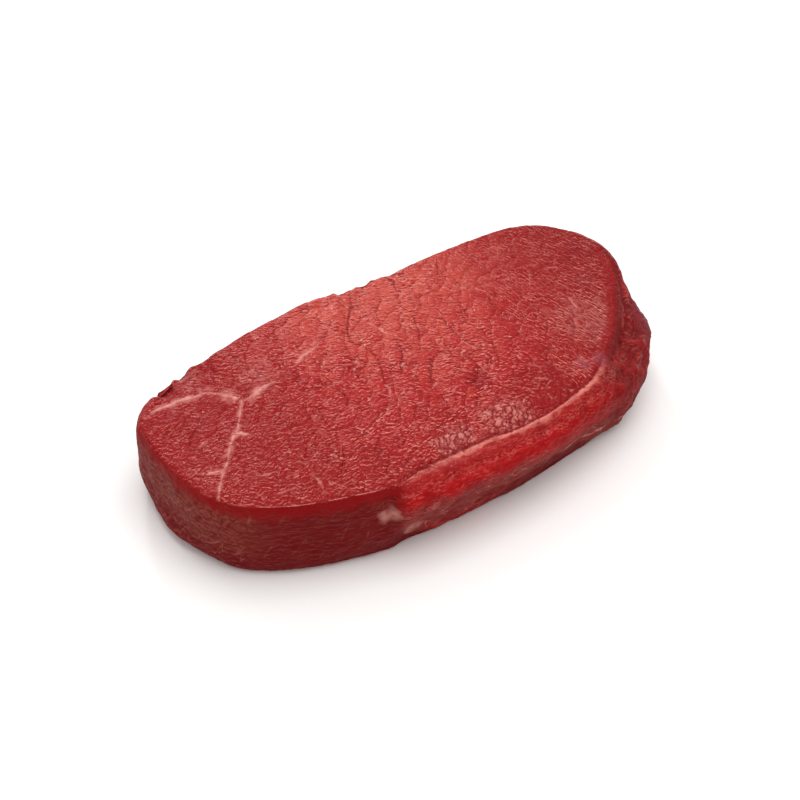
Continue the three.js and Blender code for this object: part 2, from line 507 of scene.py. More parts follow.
FAT_SEAMS = GuideSet(Mark.FAT, (
    Path(1.9, ((-116, 34), (-106, 36), (-96, 34), (-91, 34), (-86, 31), (-82, 27), (-78, 22),
          (-75, 20), (-71, 21), (-66, 23), (-60, 23))),
    Path(0.9, ((-78, 21), (-83, 13), (-88, 6), (-92, 2), (-98, -5), (-100, -9), (-103, -12),
          (-108, -18), (-112, -24), (-114, -28)), taper=0.6),
    Path(1.0, ((-91, 4), (-87, 2), (-85, -1))), Path(0.9, ((-104, -13), (-109, -12), (-116, -9))),
    Path(0.3, ((-112, -11), (-114, -13), (-117, -15))),
    Path(0.3, ((-105, -16), (-97, -22), (-88, -27), (-85, -32))),
    Path(0.45, ((-107, 5), (-104, 6), (-101, 7))),
    Path(0.9, ((-32, 34), (-40, 32), (-44, 30), (-48, 28))),
    Path(0.4, ((-10, 64), (-17, 59), (-23, 55), (-27, 55))),
    Path(0.7, ((-4, 34), (-2, 30), (-1, 26), (3, 21))),
    Path(0.4, ((61, 35), (65, 33), (69, 32), (69, 28), (66, 23), (66, 18))),
    Path(0.35, ((78, 32), (80, 28), (77, 23), (74, 18))), Path(0.3, ((51, 35), (52, 31), (53, 28))),
    Path(0.4, ((27, 3), (29, -3), (33, -7))), Path(0.35, ((25, -12), (25, -17), (26, -23))),
    Path(0.4, ((-20, -13), (-16, -14), (-13, -15))), Path(0.4, ((-17, -3), (-18, -7), (-21, -11))),
    Path(0.35, ((26, -30), (32, -36), (35, -40), (36, -47))),
    Path(0.45, ((44, -26), (46, -28), (48, -30))), Path(0.4, ((42, -35), (44, -37), (47, -39))),
    Path(0.45, ((-76, -35), (-73, -36), (-73, -42), (-74, -47))),
    Path(0.35, ((-95, -37), (-88, -38), (-81, -38))), Path(0.5, ((-2, -17), (1, -15), (4, -13))),
    Path(0.4, ((4, -24), (7, -22), (10, -22))),
    Path(0.4, ((55, -34), (63, -35), (70, -37), (76, -36), (82, -33))),
    Path(0.35, ((56, -40), (61, -41), (69, -41))),
    Path(0.3, ((59, -23), (64, -27), (66, -31), (69, -35))), Path(0.3, ((86, 29), (91, 26), (97, 23))),
    Path(0.3, ((96, 10), (101, 7), (107, 4))), Path(0.4, ((85, 5), (86, 2), (85, -4), (87, -7))),
))

CRACKS = GuideSet(Mark.CRACK, (
    Path(0.9, ((0, 61), (-5, 51), (-14, 38), (-17, 28), (-14, 24))),
    Path(0.9, ((20, 63), (22, 59), (20, 51))), Path(0.8, ((16, 31), (14, 22), (7, 8))),
    Path(0.7, ((1, 20), (-2, 9), (-10, -3))), Path(0.9, ((-13, 20), (-13, 11), (-16, 3), (-19, -6))),
    Path(0.6, ((-30, 13), (-33, 10), (-36, 10))), Path(0.6, ((-37, 1), (-38, -3), (-40, -7))),
    Path(0.6, ((-23, 19), (-25, 13), (-27, 5))), Path(0.5, ((-51, -1), (-53, -7), (-53, -14))),
    Path(0.6, ((-13, -21), (-16, -26), (-19, -30))), Path(0.5, ((-48, 23), (-51, 19), (-52, 15))),
    Path(0.5, ((48, 60), (45, 54), (41, 48))), Path(0.7, ((27, 19), (27, 13), (27, 7))),
    Path(0.6, ((27, 5), (29, -1), (31, -7))), Path(0.8, ((53, 22), (52, 18), (52, 13))),
    Path(0.6, ((45, 26), (40, 21), (35, 18))), Path(0.7, ((19, 7), (18, 0), (17, -4))),
    Path(1.0, ((8, 0), (3, -8), (-2, -16))), Path(1.3, ((24, -10), (23, -15), (15, -25))),
    Path(0.7, ((14, -29), (10, -35), (5, -38))), Path(0.6, ((37, -6), (36, -11), (33, -18))),
    Path(0.5, ((-55, -29), (-58, -35), (-62, -41))), Path(0.5, ((-38, -31), (-42, -36), (-46, -40))),
    Path(0.6, ((-39, -41), (-42, -46), (-46, -51))), Path(0.5, ((-67, -19), (-71, -25), (-75, -30))),
    Path(0.6, ((-13, -44), (-16, -50), (-20, -54))), Path(0.7, ((2, -38), (-1, -44), (-4, -51))),
    Path(0.7, ((18, -50), (15, -54), (10, -56))), Path(0.6, ((28, -49), (25, -53), (22, -55))),
    Path(0.8, ((56, -23), (52, -28), (52, -33))), Path(0.7, ((-112, 23), (-116, 19), (-120, 14))),
    Path(0.7, ((-104, 24), (-108, 19), (-113, 15))), Path(0.7, ((-103, 16), (-107, 12), (-110, 8))),
    Path(0.8, ((-74, 37), (-76, 32), (-77, 25))), Path(0.7, ((-79, 51), (-80, 47), (-80, 43))),
))

# Patches of painted sheen, where the wet cut face would reflect the light.
SHEEN = on_face((16, -50, 17), (-10, -50, 13), (84, -13, 22), (-64, 30, 13), (-93, 44, 9))
DEEP_RED = on_face((-44, 11, 5), (-28, 16, 4), (-105, 42, 5), (40, -41, 20), (-94, 19, 14), (20, -22, 9))
NICKS = on_face((-104, 47, 8), (-94, 51, 6), (-2, 64, 6), (9, 63, 5))
PURPLE = on_face((66, -38, 6), (75, -38, 6))
FAT_LUMPS = (Patch((-49, -60, 27), 6.5), Patch((-38, -60, 12), 6.5))


@dataclass(frozen=True)
class EdgeBand:
    """Where the narrow muscle along the slab's edge lies. Sizes are in millimetres."""

    begins: Span = (-48.0, -43.0)
    ends: Span = (-4.0, 6.0)
    ragged: float = 4.0
    border: Span = (-0.5, 1.5)

    @staticmethod
    def beyond_seam(plan: Field, nearest: Field) -> Field:
        """How far outside the seam a place lies; it is negative on the main muscle."""
        return plan.length() - nearest.on_plan().length()

    @staticmethod
    def fold(place: Field) -> Field:
        """Soft folds of the band, from 0 in the valleys to 1 on the ridges."""
        return place.wander(9, 2).noise(7)

    def along(self, place: Field) -> Field:
        """1 along the stretch of the edge that has the band, and 0 elsewhere; both ends are ragged."""
        x, y, _ = place.wander(7, self.ragged).parts()
        return x.rise(*self.begins) * y.fall(*self.ends)

    def share(self, place: Field, nearest: Field) -> Field:
        """1 on the band, outside its seam, and 0 on the main muscle."""
        return self.beyond_seam(place.on_plan(), nearest).rise(*self.border) * self.along(place)


@dataclass(frozen=True)
class RawBeef:
    """Finish of the whole slab: red lean, pale fat, brown walls and a moist surface, with painted highlights,
    sheen and shade.
    """

    grain: Grain
    band: EdgeBand
    specular: float = 0.15
    wet_roughness: Span = (0.22, 0.4)
    dryness: float = 0.4
    bump_depth: float = 0.6
    pale_centre: Point = (10.0, 60.0)
    pale_reach: float = 150.0
    left_part: Span = (-90.0, -20.0)
    right_part: Span = (25.0, 110.0)
    front_part: Span = (-48.0, -8.0)
    calm_x: Span = (10.0, 60.0)
    calm_y: Span = (-5.0, 30.0)
    wrinkled_y: Span = (-36.0, -24.0)
    left_end: Span = (-118.0, -92.0)
    right_end: Span = (98.0, 114.0)
    rim_heights: Span = (38.0, 43.5)
    band_wraps: Span = (12.0, 40.0)
    band_end: Span = (50.0, 85.0)
    band_shoulder: float = 37.5
    upper_part: Span = (28.0, 34.0)
    streak_lean: Triple = (-0.45, 0.27, 0.05)

    def material(self) -> bpy.types.Material:
        """Builds the node material.

        Returns:
            The finished material.
        """
        material = bpy.data.materials.new(FINISH)
        material.use_nodes = True
        tree = material.node_tree
        tree.nodes.clear()
        sketch = NodeSketch(tree)
        place = sketch.value("ShaderNodeTexCoord", None, "Object").times((1 / MM,) * 3)

        shader = sketch.node("ShaderNodeBsdfPrincipled")
        shader.inputs["Specular IOR Level"].default_value = self.specular
        shader.inputs["Specular Tint"].default_value = Tint.GLEAM.linear
        sketch.feed(shader.inputs["Base Color"], self.colour(place))
        sketch.feed(shader.inputs["Roughness"], self.roughness(place))
        sketch.feed(shader.inputs["Normal"], self.bump(place))
        output = sketch.node("ShaderNodeOutputMaterial")
        tree.links.new(shader.outputs[0], output.inputs["Surface"])
        return material

    def colour(self, place: Field) -> Field:
        """Colour of the meat.

        Args:
            place: Places in mm.

        Returns:
            The colour field.
        """
        face = place.sketch.mark(Mark.FACE)
        meat = face.blend(self.wall_colour(place), self.lean_colour(place.on_plan()))
        meat = self.with_rim(place, meat, face)
        band = self.band.share(place, place.sketch.nearest(Mark.SEAM))
        meat = band.blend(meat, self.torn_membrane(place, self.band_colour(place)))
        meat = self.with_band_seam(place, self.with_fat_seams(place, meat, face))
        loose = place.wander(5, 3.5)
        meat = (within(FAT_LUMPS, loose) * (self.swell(place) * 0.4 + 0.2)).blend(meat, Tint.FAT)
        return (within(PURPLE, loose) * face * 0.45).blend(meat, Tint.PURPLE)

    def lean_base(self, plan: Field, deep: Field) -> Field:
        """Cloudy red of the cut faces, palest at the back, with a tone of its own for each fibre bundle and
        painted shade across each bundle.

        Args:
            plan: Plan places in mm.
            deep: 1 where the meat is deep red.

        Returns:
            The colour field.
        """
        x, _, _ = plan.parts()
        from_pale = plan.minus((*self.pale_centre, 0)).length()
        cloud = (plan.noise(24, 3) - 0.5) * 0.4
        bundles, strands = self.grain.bundles, self.grain.strands
        # The across term is painted shade: each bundle lighter on one side and darker on the other, as if
        # tilted.
        draw = (bundles.draw(plan) - 0.5) * 0.12 + bundles.across(plan) * 0.16
        draw = draw + (strands.draw(plan) - 0.5) * 0.1
        tone = from_pale.fall(0, self.pale_reach) * 0.8 + 0.1 + cloud + draw - deep * 0.5
        base = tone.rise(0, 0.5).blend(Tint.LEAN_DEEP, Tint.LEAN)
        base = tone.rise(0.45, 1).blend(base, Tint.LEAN_PALE)
        base = (x.rise(*self.right_part) * 0.54).blend(base, Tint.WALL)
        return (x.fall(*self.left_part) * 0.88).blend(base, Tint.LEAN_DEEP)

    def lean_colour(self, plan: Field) -> Field:
        """Colour of the cut faces: cloudy red, darker in the fissures, pale threads, painted highlights,
        sheen and shade.

        Args:
            plan: Plan places in mm.

        Returns:
            The colour field.
        """
        x, y, _ = plan.parts()
        left = x.fall(*self.left_part)
        lobe = x.rise(*self.grain.lobe)
        raised = plan.plus((0, 0, FACE_HEIGHT))
        # Painted sheen: paler grey-pink streaks in patches where the wet face would catch the light.
        sheen = within(SHEEN, raised.wander(8, 7))
        deep = within(DEEP_RED, raised.wander(6, 3))
        base = self.lean_base(plan, deep)
        base = (sheen * self.grain.fibre_ends(plan).rise(0.36, 0.6) * 0.35).blend(base, Tint.SHEEN)

        # Painted highlights and painted shade on the crinkles, as if lit from the back; their share is
        # patchy, less on the left and in the calm back right.
        painted_light_share = plan.patches(11, 0.4, 0.6) * 0.6 + 0.36
        painted_light_share = painted_light_share * (1 - deep * 0.5) * (1 - left * 0.42) + y.fall(*self.front_part) * 0.1
        painted_light_share = painted_light_share * (1 - x.rise(*self.calm_x) * y.rise(*self.calm_y) * 0.35)
        lit = self.grain.lit(plan)
        base = (lit.rise(0.05, 0.17) * painted_light_share).blend(base, Tint.GLINT)
        base = (lit.fall(-0.17, -0.04) * (painted_light_share + left * 0.25)).blend(base, Tint.FISSURE_AND_SHADE)
        veils = self.grain.thread(plan).fall(0.03, 0.2) * plan.patches(5, 0.48, 0.62)
        base = (veils * (0.6 - lobe * 0.25 - left * 0.25)).blend(base, Tint.FLECK_AND_HIGHLIGHT)

        bundle = self.grain.bundles.border(plan)
        across = self.grain.bundles.across(plan)
        openness = self.grain.openness(plan)
        # Painted highlight just beside one side of each bundle border, and painted shade that darkens the
        # bundle towards the other.
        edge_highlight = bundle.rise(0.3, 0.5) * bundle.fall(0.6, 1.1) * across.rise(0.08, 0.3)
        base = (edge_highlight * openness * 0.2).blend(base, Tint.FLECK_AND_HIGHLIGHT)
        shade = bundle.fall(0, 2.6) * across.fall(-0.3, -0.05)
        base = (shade * openness * 0.2).blend(base, Tint.FISSURE_AND_SHADE)

        # In the front sheen patch, painted highlights on the wrinkles' ridges and dark creases between them.
        wrinkled = sheen * y.fall(*self.wrinkled_y)
        folds = self.grain.wrinkles.border(plan)
        base = (folds.rise(0.3, 1.1) * wrinkled * 0.45).blend(base, Tint.SEAM_FAT_AND_HIGHLIGHT)
        gaps = bundle.fall(0.06, 0.5) * (openness * 0.7 + 0.08) * 0.7
        slits = self.grain.strands.border(plan).fall(0.03, 0.24) * plan.patches(6, 0.46, 0.62)
        slits = slits * (left * 0.35 + 0.5)
        creases = folds.fall(0.08, 0.36) * wrinkled * 0.85
        cracks = CRACKS.share(plan, plan.sketch.nearest(Mark.CRACK), plan.fraying(0.7)) * 0.75
        base = most(gaps, slits, creases, cracks).blend(base, Tint.FISSURE_AND_SHADE)
        joints = bundle.fall(0.2, 0.8) * plan.patches(1.9, 0.6, 0.7, 0) * plan.patches(8, 0.48, 0.6, 1)
        return (joints * (0.6 - lobe * 0.4 - left * 0.3)).blend(base, Tint.SEAM_FAT_AND_HIGHLIGHT)

    def wall_colour(self, place: Field) -> Field:
        """Colour of the wall: dark red with leaning streaks, painted light and shade on fine ridges, under a
        thin grey-brown membrane at both ends.

        Args:
            place: Places in mm.

        Returns:
            The colour field.
        """
        x, _, height = place.parts()
        left = x.fall(*self.left_end)
        layered = self.grain.layers(place)
        streaks = layered.noise(2.6, 3)
        base = (streaks.rise(0.42, 0.7) * 0.8).blend(Tint.WALL, Tint.WALL_STREAK)
        skin = place.patches(12, 0.5, 0.72) * 0.2 + left * height.rise(6, 24)
        base = (skin * streaks.rise(0.2, 0.55)).blend(base, Tint.MEMBRANE)
        base = (x.rise(*self.right_end) * streaks.rise(0.3, 0.65) * 0.6).blend(base, Tint.END_MEMBRANE)

        wrinkled = place.wander(7, 2.5)
        creases = wrinkled.times((0.16, 0.16, 0.2)).cell_edge().fall(0.01, 0.1)
        base = (creases * (left * 0.6 + 0.15)).blend(base, Tint.WALL)
        # Painted light on the upper side of fine ridges and crumples, painted shade under them.
        crumples = wrinkled.times((0.6, 0.6, 0.8)).ridge_light(1.6)
        ridges = layered.ridge_light(1.2).toward(crumples, left)
        base = (ridges.rise(0.02, 0.2) * (left * 0.2 + 0.24)).blend(base, Tint.WALL_LIT)
        base = (ridges.fall(-0.2, -0.02) * 0.36).blend(base, Tint.WALL_SHADE)

        leaning = place.on_plan().plus(height.along(self.streak_lean)).wander(12, 2)
        threads = leaning.times((0.16,) * 3).cell_edge().fall(0.005, 0.04) * place.patches(6, 0.46, 0.7)
        return (threads * (left * 0.1 + 0.12)).blend(base, Tint.FAT)

    def with_rim(self, place: Field, meat: Field, face: Field) -> Field:
        """Adds the clear red edge under the upper rim, which is painted light shining through the thin edge,
        with a thin pale line along the rim itself.

        Args:
            place: Places in mm.
            meat: The colour so far.
            face: 1 on the cut faces and 0 on the wall.

        Returns:
            The colour with the rim.
        """
        x, y, height = place.parts()
        # Painted light: a clear red stripe on the wall just under the rim, as if light shone through the thin
        # edge.
        stripe = (height + place.noise(7) * 9).rise(*self.rim_heights) * (1 - face) * 0.9
        meat = stripe.blend(meat, Tint.RIM)
        line = face.rise(0.72, 0.84) * face.fall(0.88, 0.97) * height.rise(30, 36)
        front = y.fall(-40, -28) * x.fall(-56, -48)
        return (line * place.patches(7, 0.36, 0.56) * front * 0.75).blend(meat, Tint.SEAM_FAT_AND_HIGHLIGHT)

    @staticmethod
    def uneven_height(place: Field) -> Field:
        """Height over the floor with slow waves, so that the band's colours meet in uneven lines."""
        return place.parts()[2] + (place.noise(9) - 0.5) * 7

    def band_colour(self, place: Field) -> Field:
        """Colour of the edge band's flesh: clear red above and brown below, with painted highlights and
        painted shade on its folds, ridges and shoulder.

        Args:
            place: Places in mm.

        Returns:
            The colour field.
        """
        x, _, _ = place.parts()
        wraps = x.rise(*self.band_wraps)
        end = x.rise(*self.band_end)
        uneven = self.uneven_height(place)
        fibres = place.wander(9, 2.5).times((0.3, 0.9, 0.9))
        streaks = fibres.noise(1.6, 3)

        dull = (streaks.rise(0.4, 0.68) * 0.7).blend(Tint.BAND_BROWN, Tint.BAND_DULL)
        base = (uneven.fall(4, 9) * (1 - wraps) * 0.7).blend(dull, Tint.BAND_RED)
        base = (uneven + wraps * 8).rise(25, 34).blend(base, Tint.BAND_RED)
        base = (streaks.rise(0.48, 0.72) * uneven.rise(20, 30) * 0.45).blend(base, Tint.BAND_DEEP)
        base = (uneven.rise(self.band_shoulder, 41) * 0.8).blend(base, Tint.LEAN)
        base = (end * 0.75).blend(base, Tint.WALL)
        # Painted shade in the fold valleys and a painted highlight on the fold ridges.
        fold = self.band.fold(place)
        base = (fold.fall(0.36, 0.52) * (end * 0.4 + 0.3)).blend(base, Tint.WALL)
        base = (fold.rise(0.52, 0.68) * uneven.rise(20, 30) * 0.35).blend(base, Tint.LEAN)

        # Painted highlight: a brighter red along the band's upper front.
        upper_highlight = uneven.rise(29, 34) * uneven.fall(37, 40) * (1 - end)
        base = (upper_highlight * place.patches(10, 0.4, 0.6) * 0.4).blend(base, Tint.BAND_HIGHLIGHT)
        # Painted highlights on the upper side of fine ridges along the fibres and painted shade below them.
        ridges = fibres.ridge_light(1)
        glint_share = place.patches(8, 0.42, 0.64) * 0.22 + 0.05
        base = (ridges.rise(0.02, 0.18) * glint_share).blend(base, Tint.GLINT)
        base = (ridges.fall(-0.18, -0.02) * 0.22).blend(base, Tint.WALL)
        # Painted glints on the band's top and a painted highlight along its shoulder.
        fine = fibres.noise(0.6)
        glints = fine.rise(0.5, 0.66) * uneven.rise(36, 40) * place.patches(7, 0.34, 0.6)
        shoulder = (uneven - self.band_shoulder).unsigned().fall(0.2, 2) * fine.rise(0.45, 0.62)
        return most(glints * 0.3, shoulder * 0.35).blend(base, Tint.FLECK_AND_HIGHLIGHT)

    def torn_membrane(self, place: Field, base: Field) -> Field:
        """Lays the torn membrane, its pale fringe and loose wisps over the lower part of the edge band.

        Args:
            place: Places in mm.
            base: The colour of the band's flesh.

        Returns:
            The colour with the membrane.
        """
        x, _, height = place.parts()
        wraps = x.rise(*self.band_wraps)
        loose = place.wander(9, 2.5)
        above_hem = height - (loose.noise(11) * 12 + 6)
        lower = (above_hem + 1).fall(-1, 1.5) * wraps
        base = (lower * 0.7).blend(base, Tint.MEMBRANE)
        fringe = (above_hem + place.fraying(3)).unsigned().fall(0.3, 1.4)
        base = (fringe * wraps * (place.patches(9, 0.36, 0.6) * 0.6)).blend(base, Tint.FAT)

        wisps = place.wander(5, 3).times((0.12, 0.12, 0.16)).cell_edge().fall(0.005, 0.035)
        wisps = wisps * place.patches(8, 0.44, 0.6) * (1 - x.rise(*self.band_end) * 0.8)
        base = (wisps * self.uneven_height(place).fall(24, 34) * 0.4).blend(base, Tint.FAT)
        right = x.rise(106, 118) * height.fall(32, 39)
        creased = loose.times((0.3, 0.3, 0.3)).cell_edge().rise(0.02, 0.2)
        return (right * (creased * 0.5 + 0.3)).blend(base, Tint.END_MEMBRANE)

    @staticmethod
    def swell(place: Field) -> Field:
        """How full the fat is at a place, from 0 to 1."""
        return place.patches(5, 0.3, 0.7, 3)

    def with_fat_seams(self, place: Field, meat: Field, face: Field) -> Field:
        """Lays the fat seams of the upper cut face over the meat's colour.

        Args:
            place: Places in mm.
            meat: The colour so far.
            face: 1 on the cut faces and 0 on the wall.

        Returns:
            The colour with the fat seams.
        """
        plan = place.on_plan()
        nearest = place.sketch.nearest(Mark.FAT)
        swell = self.swell(place)
        ragged = place.fraying(0.8)
        fat = FAT_SEAMS.share(plan, nearest, ragged, swell * 0.7 + 0.65) * (swell * 0.5 + 0.35)
        halo = FAT_SEAMS.share(plan, nearest, ragged * 2, swell * 1.6 + 1.6) * (swell * 0.4 + 0.05)
        stout = nearest.parts()[2].rise(0.1, 1) * 0.6 + 0.4
        upper = place.parts()[2].rise(*self.upper_part)
        return (most(fat, halo) * stout * face * upper).blend(meat, Tint.SEAM_FAT_AND_HIGHLIGHT)

    def with_band_seam(self, place: Field, meat: Field) -> Field:
        """Lays the edge band's pale strip and the dark lines beside it over the meat's colour.

        Args:
            place: Places in mm.
            meat: The colour so far.

        Returns:
            The colour with the band's seam.
        """
        x, y, height = place.parts()
        upper = height.rise(*self.upper_part)
        seam = place.sketch.nearest(Mark.SEAM)
        _, _, width = seam.parts()
        swell = self.swell(place)
        beyond = self.band.beyond_seam(place.on_plan(), seam) + place.fraying(0.8) * 0.6
        along = self.band.along(place) * upper
        lobe = x.rise(72, 84) * y.fall(20, 30) * upper
        edge = beyond.rise(-6.5, -4) * beyond.fall(-1, 1)
        meat = (edge * lobe * 0.8).blend(meat, Tint.RIM)
        groove = beyond.rise(-2, -0.6) * beyond.fall(0.6, 2)
        meat = (groove * lobe * 0.8).blend(meat, Tint.WALL)
        strip = beyond.rise(-1.4, -0.7) * beyond.fall(-0.6, swell * 2.2 + 0.9) * width.rise(0.9, 2)
        drawn = place.times((0.2, 1, 1)).patches(0.9, 0.3, 0.6)
        meat = (strip * (swell * 0.2 + drawn * 0.5 + 0.2) * along).blend(meat, Tint.STRIP)
        crease = beyond.rise(-3, -2) * beyond.fall(-1.6, -1) * along
        return (crease * 0.8).blend(meat, Tint.FISSURE_AND_SHADE)

    def roughness(self, place: Field) -> Field:
        """Roughness of the moist surface; the walls are drier than the cut faces."""
        dry = (1 - place.sketch.mark(Mark.FACE)) * self.dryness
        return place.noise(5, 3).ramp(0.3, 0.7, *self.wet_roughness) + dry

    def bump(self, place: Field) -> Field:
        """Fine wrinkles, slits and cut fibre ends, too small for the mesh.

        Args:
            place: Places in mm.

        Returns:
            The bent normal.
        """
        plan = place.on_plan()
        pillows = self.grain.strands.border(plan).rise(0, 1.1) * 0.25
        cracks = CRACKS.share(plan, place.sketch.nearest(Mark.CRACK), 0, 1.5) * 0.3
        cut = self.grain.skin(plan) * 1.6 + pillows - cracks
        side = place.noise(4, 3, 0.55) * 1.4
        height = side.toward(cut, place.sketch.mark(Mark.FACE))
        wrinkles = {"Strength": 1, "Distance": self.bump_depth * MM, "Height": height}
        return place.sketch.value("ShaderNodeBump", wrinkles)


@dataclass(frozen=True)
class TreeInput:
    """One named input of a Geometry Nodes tree, with the value that it gets."""

    name: str
    socket: str
    value: object


RELIEF = {
    "Wave Height": 0.4,
    "Bundle Height": 0.24,
    "Fissure Depth": 0.2,
    "Crack Depth": 0.22,
    "Wall Layer": 0.5,
    "Wall Lump": 1.8,
    "Band Fold": 1.8,
    "Band Lump": 0.5,
    "Nick Depth": 2.2,
}


@dataclass
class Roast:
    """The slab: its plain solid, refined and given the relief of cut meat. Sizes are in millimetres."""

    grain: Grain = field(default_factory=Grain)
    band: EdgeBand = field(default_factory=EdgeBand)
    guides: tuple[GuideSet, ...] = (BAND_SEAM, FAT_SEAMS, CRACKS)
    subdivisions: int = 3
    triangle_limit: int = 195_000
    merge_distance: float = 0.001
    rim_blur: int = 6
    piece: bpy.types.Object | None = None
    helpers: list[bpy.types.Object] = field(default_factory=list)

    def build(self, material: bpy.types.Material) -> bpy.types.Object:
        """Makes the slab's detailed mesh.

        Args:
            material: The finish that the whole slab gets.

        Returns:
            The finished piece.
        """
        rough = bpy.data.objects.new("roast_rough", self.quad_mesh())
        bpy.context.scene.collection.objects.link(rough)
        inputs = [TreeInput("Subdivisions", "NodeSocketInt", self.subdivisions)]
        inputs += [TreeInput(name, "NodeSocketFloat", size * MM) for name, size in RELIEF.items()]
        inputs.append(TreeInput("Finish", "NodeSocketMaterial", material))
        for guide in self.guides:
            helper = guide.build()
            self.helpers.append(helper)
            inputs.append(TreeInput(guide.mark.value, "NodeSocketObject", helper))
        tree = self.relief_tree(inputs)
        relief = rough.modifiers.new("relief", "NODES")
        relief.node_group = tree
        sockets = {item.name: item.identifier for item in tree.interface.items_tree if item.in_out == "INPUT"}
        for item in inputs:
            relief[sockets[item.name]] = item.value
        thin = rough.modifiers.new("thin", "DECIMATE")
        full = 2 * len(rough.data.polygons) * 4**self.subdivisions
        thin.ratio = self.triangle_limit / full
        self.piece = self.made_plain(rough)
        return self.piece

    def quad_mesh(self) -> bpy.types.Mesh:
        """Copies the plain solid's mesh, merges its loose triangles and joins them to quads.

        Returns:
            The joined mesh.
        """
        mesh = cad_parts[CAD_NODE].data.copy()
        mesh.materials.clear()
        work = bmesh.new()
        work.from_mesh(mesh)
        bmesh.ops.remove_doubles(work, verts=work.verts, dist=self.merge_distance * MM)
        bmesh.ops.join_triangles(
            work, faces=work.faces, angle_face_threshold=math.pi, angle_shape_threshold=math.pi
        )
        work.to_mesh(mesh)
        work.free()
        return mesh

    def relief_tree(self, inputs: list[TreeInput]) -> bpy.types.GeometryNodeTree:
        """Builds the Geometry Nodes tree that refines the slab and raises its relief.

        Args:
            inputs: The tree's named inputs, besides the mesh itself.

        Returns:
            The finished tree.
        """
        tree = bpy.data.node_groups.new("meat_relief", "GeometryNodeTree")
        tree.interface.new_socket("Mesh", in_out="INPUT", socket_type="NodeSocketGeometry")
        for item in inputs:
            tree.interface.new_socket(item.name, in_out="INPUT", socket_type=item.socket)
        tree.interface.new_socket("Meat", in_out="OUTPUT", socket_type="NodeSocketGeometry")
        sketch = NodeSketch(tree)

        levels = {"Mesh": sketch.take("Mesh"), "Level": sketch.take("Subdivisions")}
        meat = sketch.value("GeometryNodeSubdivisionSurface", levels)
        position = sketch.value("GeometryNodeInputPosition")
        place = position.times((1 / MM,) * 3)
        plan = place.on_plan()
        normal = sketch.value("GeometryNodeInputNormal", None, "Normal")

        face = self.face_share(normal)
        nearest = {guide.mark: self.nearest_point(guide, plan) for guide in self.guides}
        for mark, value in {Mark.FACE: face, **nearest}.items():
            kind = "FLOAT" if mark is Mark.FACE else "FLOAT_VECTOR"
            entry = {"Geometry": meat, "Name": mark.value, "Value": value}
            meat = sketch.value("GeometryNodeStoreNamedAttribute", entry, data_type=kind, domain="POINT")

        height = self.face_height(plan, nearest[Mark.CRACK]) * face
        height = height + self.wall_height(place) * (1 - face)
        band = self.band.share(place, nearest[Mark.SEAM])
        height = height + self.band_height(place) * band
        height = height - within(NICKS, place.wander(5, 1.5)) * sketch.take("Nick Depth")
        height = sketch.math("MINIMUM", height, position.parts()[2])
        moved = {"Geometry": meat, "Offset": height.along(normal)}
        meat = sketch.value("GeometryNodeSetPosition", moved)
        meat = sketch.value("GeometryNodeSetShadeSmooth", {"Geometry": meat})
        meat = sketch.value("GeometryNodeRealizeInstances", {"Geometry": meat})
        dressed = {"Geometry": meat, "Material": sketch.take("Finish")}
        meat = sketch.value("GeometryNodeSetMaterial", dressed)
        sketch.node("NodeGroupOutput", {"Meat": meat})
        return tree

    def face_share(self, normal: Field) -> Field:
        """1 on the two cut faces and 0 on the wall, with a soft border along the rim."""
        level = {"Value": normal.parts()[2].unsigned().rise(0.55, 0.9), "Iterations": self.rim_blur}
        return normal.sketch.value("GeometryNodeBlurAttribute", level, data_type="FLOAT")

    @staticmethod
    def nearest_point(guide: GuideSet, plan: Field) -> Field:
        """Finds the nearest point of a guide's smooth lines.

        Args:
            guide: The lines.
            plan: Plan places in mm.

        Returns:
            The nearest point, in millimetres, with the line's half width as its height.
        """
        sketch = plan.sketch
        source = {"Object": sketch.take(guide.mark.value)}
        curve = sketch.value("GeometryNodeObjectInfo", source, "Geometry", transform_space="ORIGINAL")
        curve = sketch.value("GeometryNodeCurveSplineType", {"Curve": curve}, spline_type="CATMULL_ROM")
        lines = sketch.value("GeometryNodeCurveToMesh", {"Curve": curve})
        search = {0: lines, "Sample Position": guide.loose(plan).times((MM, MM, 0))}
        near = sketch.value("GeometryNodeProximity", search, "Position", target_element="EDGES")
        return near.times((1 / MM,) * 3)

    def face_height(self, plan: Field, crack: Field) -> Field:
        """Relief of the cut faces: waves, bundles of unlike height, fissures between them, and cracks.

        Args:
            plan: Plan places in mm.
            crack: The nearest point of the cracks.

        Returns:
            The height in metres.
        """
        take = plan.sketch.take
        border = self.grain.bundles.border(plan)
        waves = (plan.noise(9, 3) - 0.5) * take("Wave Height")
        draw = self.grain.bundles.draw(plan) * border.rise(0, 1.3)
        tilted = self.grain.bundles.across(plan) * -1.1
        bundles = (draw * 0.5 + border.rise(0, 1.2) * 0.35 + tilted) * take("Bundle Height")
        fissures = border.fall(0, 0.7) * self.grain.openness(plan) * take("Fissure Depth")
        cracks = CRACKS.share(plan, crack, 0, 1.6) * take("Crack Depth")
        return waves + bundles - fissures - cracks

    def band_height(self, place: Field) -> Field:
        """Relief of the edge band: folds, deeper round the end that it wraps, and small torn lumps.

        Args:
            place: Places in mm.

        Returns:
            The height in metres.
        """
        x, _, _ = place.parts()
        folds = (self.band.fold(place) - 0.5) * (x.rise(45, 85) + 1)
        lumps = place.noise(2.6) - 0.5
        take = place.sketch.take
        return folds * take("Band Fold") + lumps * take("Band Lump")

